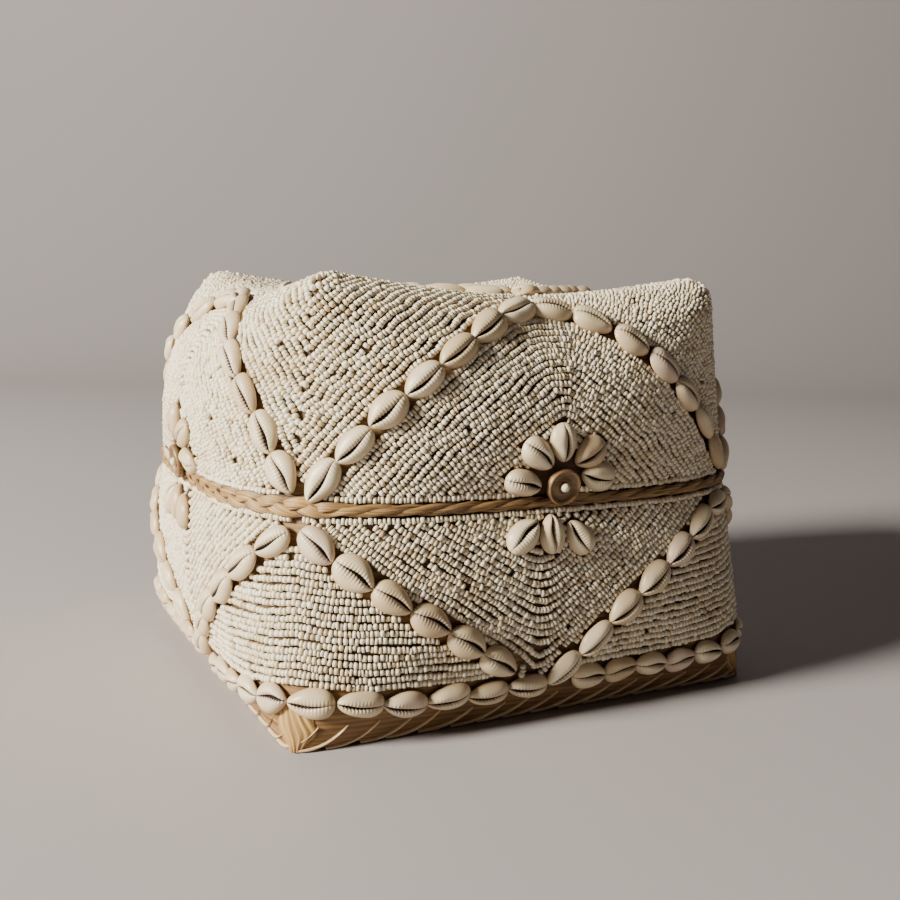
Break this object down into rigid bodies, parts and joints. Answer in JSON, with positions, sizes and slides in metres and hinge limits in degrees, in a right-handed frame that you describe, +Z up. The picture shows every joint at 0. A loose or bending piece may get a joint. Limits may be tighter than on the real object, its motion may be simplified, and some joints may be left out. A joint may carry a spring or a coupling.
{
  "type": "lidded shell basket",
  "caption": "Square lidded bamboo basket covered with rows of ivory seed beads, zigzag strings of cowrie shells, and a shell flower with a wooden button on each side.",
  "frame": {"origin": "on the ground under the middle of the basket's box", "axes": "+Z up, the front face looks towards -Y, +X to the right of someone who faces it"},
  "size_m": [0.2599, 0.2451, 0.1789],
  "materials": {
    "bamboo": "satin",
    "plaited_straw": "satin",
    "ivory_beads": "satin",
    "cowrie": "glossy",
    "button_wood": "satin"
  },
  "bodies": {
    "root": {"base_basket": "bamboo", "lid": "bamboo", "rim_braid": "plaited_straw", "base_beadwork": "ivory_beads", "lid_beadwork": "ivory_beads", "lid_shells_front": "cowrie", "base_shells_front_left": "cowrie", "base_shells_front_right": "cowrie", "lid_flower_front": "cowrie", "base_flower_front": "cowrie", "button_front": "button_wood", "button_bead_front": "ivory_beads", "lid_shells_right": "cowrie", "base_shells_right_left": "cowrie", "base_shells_right_right": "cowrie", "lid_flower_right": "cowrie", "base_flower_right": "cowrie", "button_right": "button_wood", "button_bead_right": "ivory_beads", "lid_shells_back": "cowrie", "base_shells_back_left": "cowrie", "base_shells_back_right": "cowrie", "lid_flower_back": "cowrie", "base_flower_back": "cowrie", "button_back": "button_wood", "button_bead_back": "ivory_beads", "lid_shells_left": "cowrie", "base_shells_left_left": "cowrie", "base_shells_left_right": "cowrie", "lid_flower_left": "cowrie", "base_flower_left": "cowrie", "button_left": "button_wood", "button_bead_left": "ivory_beads", "bottom_shells_front_right": "cowrie", "top_shells_front_right": "cowrie", "bottom_shells_back_right": "cowrie", "top_shells_back_right": "cowrie", "bottom_shells_back_left": "cowrie", "top_shells_back_left": "cowrie", "bottom_shells_front_left": "cowrie", "top_shells_front_left": "cowrie"}
  },
  "joints": []
}
